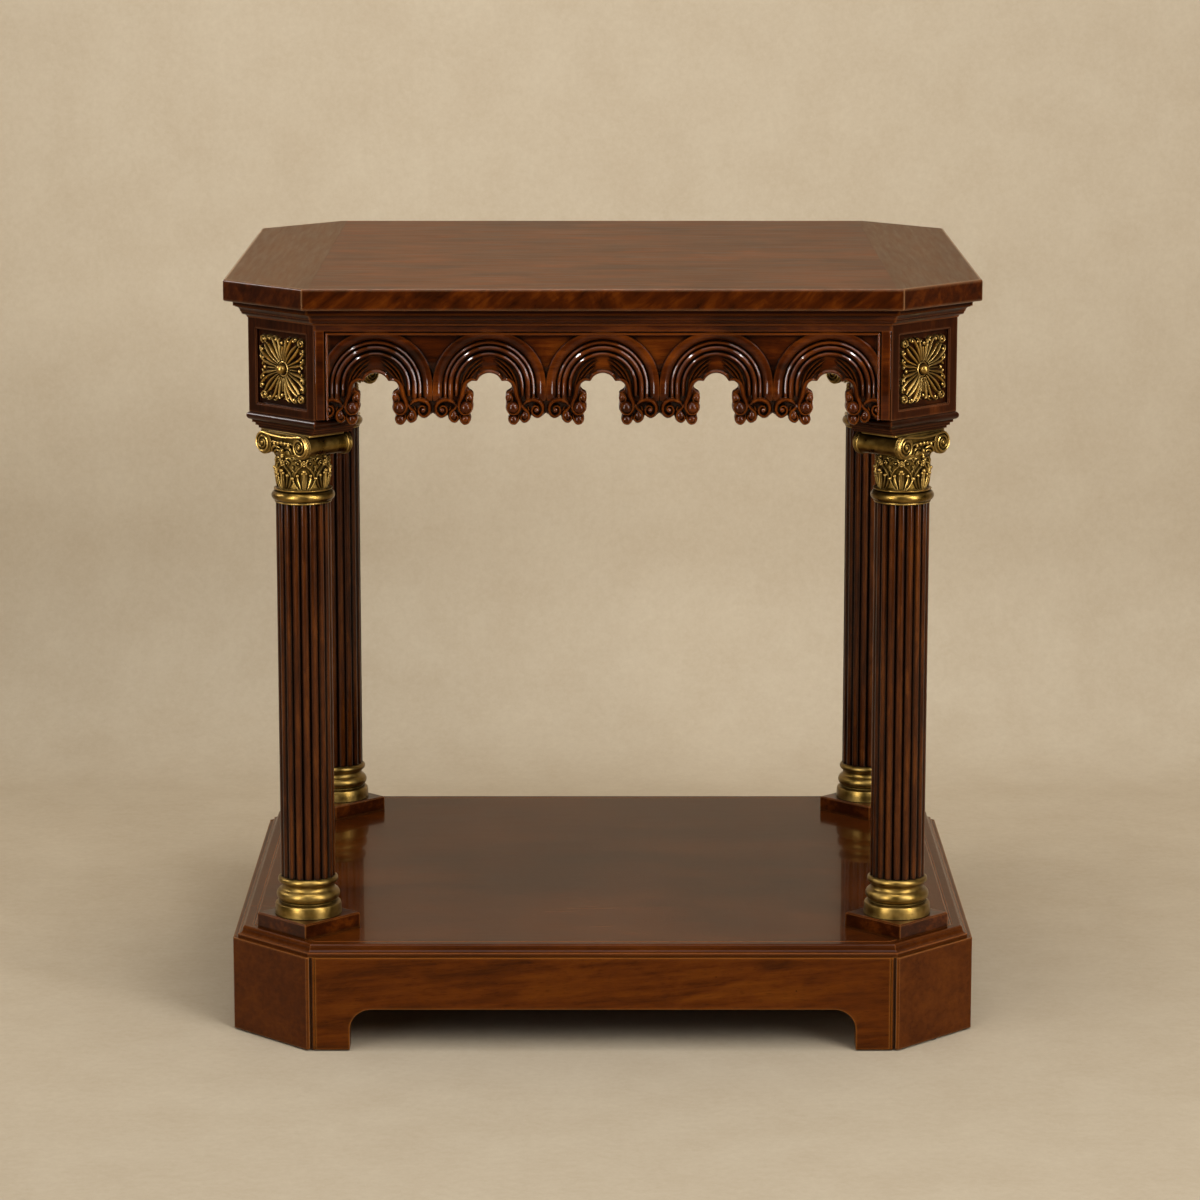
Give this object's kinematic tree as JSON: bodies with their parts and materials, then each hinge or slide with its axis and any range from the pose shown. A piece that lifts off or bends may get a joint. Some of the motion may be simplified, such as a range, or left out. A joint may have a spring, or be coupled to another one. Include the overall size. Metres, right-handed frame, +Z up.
{
  "type": "side table",
  "caption": "Octagonal mahogany side table: carved arcade apron, reeded columns with brass capitals and bases, and a low platform on a box base.",
  "frame": {"origin": "on the floor under the centre of the table", "axes": "+X to the table's right, +Z up, the front faces -Y"},
  "size_m": [0.696, 0.612, 0.711],
  "materials": {
    "mahogany": "dark red-brown mahogany, French polished, dark glaze in the recesses",
    "top_veneer": "figured mahogany veneer, polished, lighter cloudy figure",
    "end_veneer": "straight-grained mahogany cross band, polished",
    "carved_mahogany": "carved mahogany, rubbed light on the crests and near black in the hollows",
    "column_mahogany": "reeded mahogany, polished, dark glaze between the reeds",
    "platform_mahogany": "mahogany platform, glossy polish",
    "cast_brass": "cast brass, dark patina in the hollows and bright on the crests",
    "turned_brass": "turned and polished brass, softly aged",
    "inner_wood": "plain sawn secondary wood",
    "steel": "plain steel fastener",
    "felt": "dark felt"
  },
  "bodies": {
    "root": {"table_top": "mahogany", "field_veneer": "top_veneer", "left_end_veneer": "end_veneer", "right_end_veneer": "end_veneer", "front_cornice": "mahogany", "right_cornice": "mahogany", "back_cornice": "mahogany", "left_cornice": "mahogany", "front_left_cornice": "mahogany", "front_right_cornice": "mahogany", "back_right_cornice": "mahogany", "back_left_cornice": "mahogany", "front_left_post": "mahogany", "front_right_post": "mahogany", "back_right_post": "mahogany", "back_left_post": "mahogany", "front_left_rosette": "cast_brass", "front_right_rosette": "cast_brass", "back_right_rosette": "cast_brass", "back_left_rosette": "cast_brass", "front_apron": "carved_mahogany", "right_apron": "carved_mahogany", "back_apron": "carved_mahogany", "left_apron": "carved_mahogany", "front_left_abacus": "mahogany", "front_right_abacus": "mahogany", "back_right_abacus": "mahogany", "back_left_abacus": "mahogany", "front_left_capital": "cast_brass", "front_right_capital": "cast_brass", "back_right_capital": "cast_brass", "back_left_capital": "cast_brass", "front_left_column": "column_mahogany", "front_right_column": "column_mahogany", "back_right_column": "column_mahogany", "back_left_column": "column_mahogany", "front_left_brass_base": "turned_brass", "front_right_brass_base": "turned_brass", "back_right_brass_base": "turned_brass", "back_left_brass_base": "turned_brass", "front_left_plinth": "mahogany", "front_right_plinth": "mahogany", "back_right_plinth": "mahogany", "back_left_plinth": "mahogany", "platform": "platform_mahogany", "front_base_rail": "mahogany", "right_base_rail": "mahogany", "back_base_rail": "mahogany", "left_base_rail": "mahogany", "front_left_base_corner": "mahogany", "front_right_base_corner": "mahogany", "back_right_base_corner": "mahogany", "back_left_base_corner": "mahogany", "glue_blocks": "inner_wood", "top_blocks": "inner_wood", "top_screws": "steel", "tie_rods": "steel", "rod_nuts": "steel", "rod_washers": "steel", "glides": "felt"}
  },
  "joints": []
}
